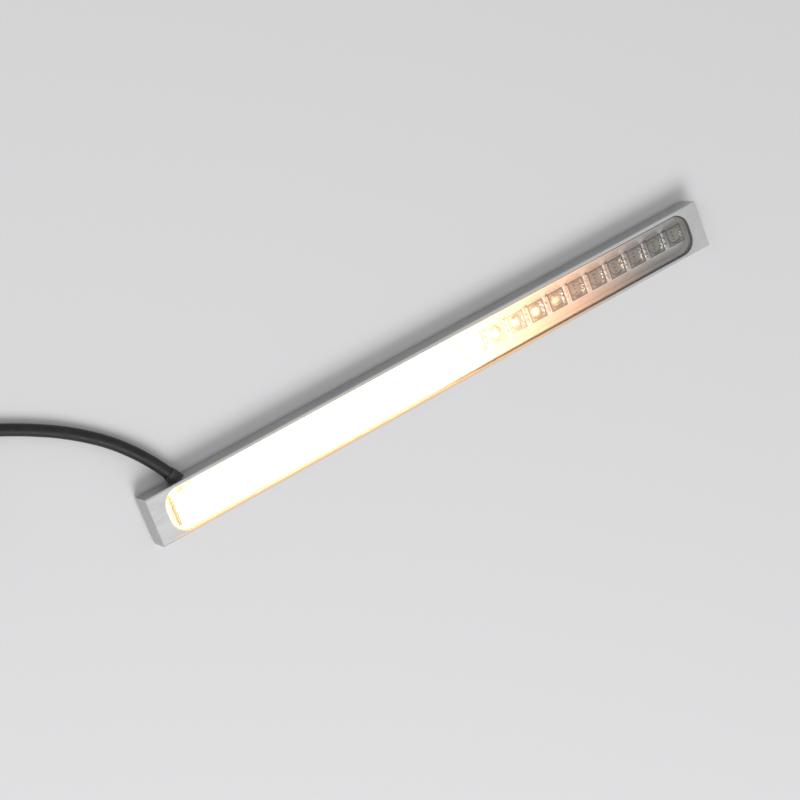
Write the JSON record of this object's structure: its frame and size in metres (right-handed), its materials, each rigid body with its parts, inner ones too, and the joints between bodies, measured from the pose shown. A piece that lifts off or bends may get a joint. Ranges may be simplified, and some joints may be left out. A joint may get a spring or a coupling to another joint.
{
  "type": "license plate lamp",
  "caption": "Slim aluminium bar lamp with a long round-cornered lens over a row of square LED packages, and a thin round cable with bare ends.",
  "frame": {"origin": "middle of the mounting back, on the surface that the lamp lies on", "axes": "+X along the bar away from the cable's end, +Y towards the side wall that the cable leaves by, +Z out of the lamp's face"},
  "size_m": [0.2445, 0.0568, 0.0065],
  "materials": {
    "satin_aluminium": "satin anodised, fine lengthwise grain",
    "clear_lens": "clear, glossy",
    "seal_rubber": "matte black sealing bead",
    "white_board": "white solder mask",
    "thermal_pad": "soft grey-blue tape",
    "led_body": "white moulded package",
    "phosphor": "yellow phosphor gel, lit warm white",
    "tinned_metal": "bright tin",
    "chip_black": "moulded component body",
    "sleeve_rubber": "matte black rubber",
    "red_insulation": "soft wire insulation",
    "black_insulation": "soft wire insulation",
    "foam_tape": "closed-cell foam tape",
    "liner_film": "thin release film",
    "cable_sheath": "soft black sheath"
  },
  "bodies": {
    "root": {"housing": "satin_aluminium", "lens": "clear_lens", "lens_seal": "seal_rubber", "circuit_board": "white_board", "thermal_tape": "thermal_pad", "led_01": "led_body", "led_02": "led_body", "led_03": "led_body", "led_04": "led_body", "led_05": "led_body", "led_06": "led_body", "led_07": "led_body", "led_08": "led_body", "led_09": "led_body", "led_10": "led_body", "led_11": "led_body", "led_12": "led_body", "led_13": "led_body", "led_14": "led_body", "led_15": "led_body", "led_16": "led_body", "led_17": "led_body", "led_18": "led_body", "led_19": "led_body", "led_20": "led_body", "led_21": "led_body", "led_22": "led_body", "led_23": "led_body", "led_24": "led_body", "phosphor_fills": "phosphor", "led_leads": "tinned_metal", "solder_joints": "tinned_metal", "lead_tips": "tinned_metal", "resistors": "chip_black", "polarity_diode": "chip_black", "cable_sleeve": "sleeve_rubber", "red_core": "red_insulation", "red_lead": "red_insulation", "black_core": "black_insulation", "black_lead": "black_insulation", "mounting_tape": "foam_tape", "tape_liner": "liner_film", "cable_tube": "cable_sheath", "cable_coil": "cable_sheath", "cable_tail": "cable_sheath"}
  },
  "joints": []
}
